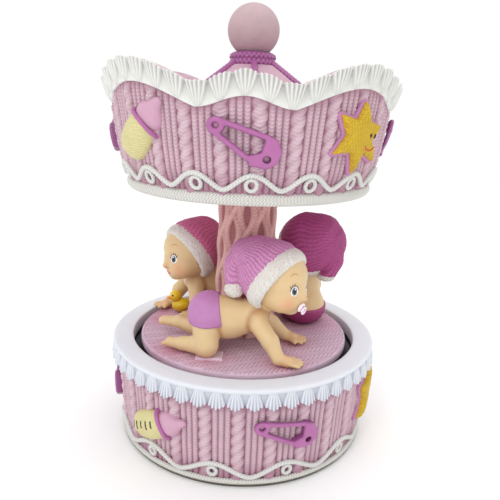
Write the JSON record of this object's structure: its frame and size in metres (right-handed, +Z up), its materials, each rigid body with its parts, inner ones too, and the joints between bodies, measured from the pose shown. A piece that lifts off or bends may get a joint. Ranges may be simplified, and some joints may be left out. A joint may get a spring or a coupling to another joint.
{
  "type": "carousel music box",
  "caption": "Cast-resin carousel music box: a drum base, a turning platform with crawling babies, a knitted-look column and a frilled canopy with a ball on top.",
  "frame": {"origin": "centre of the felt ring's underside, on the surface the box stands on", "axes": "+Z up along the column and the spin axis; -Y is the front; +X is the viewer's right"},
  "size_m": [0.1124, 0.1124, 0.17],
  "materials": {
    "felt": "felt",
    "pink_resin": "matt painted cast resin",
    "lilac_resin": "matt painted cast resin",
    "skin_resin": "matt painted cast resin",
    "yellow_resin": "matt painted cast resin",
    "board": "fine texture",
    "black_plastic": "moulded",
    "zinc": "cast",
    "pressed_steel": "nickel plated",
    "spring_steel": "ground",
    "screw_steel": "plated",
    "brass": "machined"
  },
  "bodies": {
    "case": {"base_shell": "pink_resin", "felt_ring": "felt", "bottom_plate": "board", "plate_screws": "screw_steel", "movement_screws": "screw_steel", "bedplate": "zinc", "spring_housing": "pressed_steel", "housing_screws": "screw_steel", "mainspring": "spring_steel", "comb": "spring_steel", "comb_screws": "screw_steel", "governor_frame": "brass", "governor_screw": "screw_steel"},
    "carousel": {"turntable": "lilac_resin", "crown_wheel": "zinc", "drive_spider": "zinc", "turntable_hub": "brass", "hub_screws": "screw_steel", "column": "pink_resin", "canopy_valance": "pink_resin", "canopy_roof": "lilac_resin", "canopy_ceiling": "lilac_resin", "finial_ball": "pink_resin", "figure_front": "skin_resin", "figure_left": "skin_resin", "figure_right": "skin_resin", "toy_duck": "yellow_resin"},
    "click": {"click_pawl": "spring_steel"},
    "winder": {"winding_arbor": "screw_steel", "ratchet_wheel": "pressed_steel", "winding_key": "zinc"},
    "cylinder": {"tune_cylinder": "brass", "cylinder_arbor": "screw_steel", "cylinder_pinion": "brass", "train_wheel": "brass"},
    "governor": {"governor_wheel": "brass"},
    "fan": {"governor_worm": "screw_steel", "governor_fan": "black_plastic"}
  },
  "joints": [
    {"name": "turntable_spin", "type": "hinge", "parent": "case", "child": "carousel", "pos_m": [0, 0, 0.041], "axis": [0, 0, 1], "continuous": true},
    {"name": "key_winding", "type": "hinge", "parent": "carousel", "child": "winder", "pos_m": [0, 0, 0.0095], "axis": [0, 0, 1], "range_deg": [0, 1980]},
    {"name": "click_lift", "type": "hinge", "parent": "carousel", "child": "click", "pos_m": [0.0084, 0, 0.0283], "axis": [0, 0, -1], "range_deg": [0, 14], "stiffness_Nm_per_rad": 0.00002, "springref_deg": -11.46},
    {"name": "cylinder_spin", "type": "hinge", "parent": "case", "child": "cylinder", "pos_m": [0.0254, 0, 0.0216], "axis": [1, 0, 0], "continuous": true},
    {"name": "governor_spin", "type": "hinge", "parent": "case", "child": "governor", "pos_m": [0.0361, -0.009, 0.0216], "axis": [1, 0, 0], "continuous": true},
    {"name": "fan_spin", "type": "hinge", "parent": "case", "child": "fan", "pos_m": [0.0361, -0.0138, 0.0216], "axis": [0, 0, 1], "continuous": true}
  ],
  "couplings": [
    {"joint": "cylinder_spin", "follows": "turntable_spin", "ratio": -4},
    {"joint": "governor_spin", "follows": "turntable_spin", "ratio": 16},
    {"joint": "fan_spin", "follows": "turntable_spin", "ratio": 384}
  ]
}
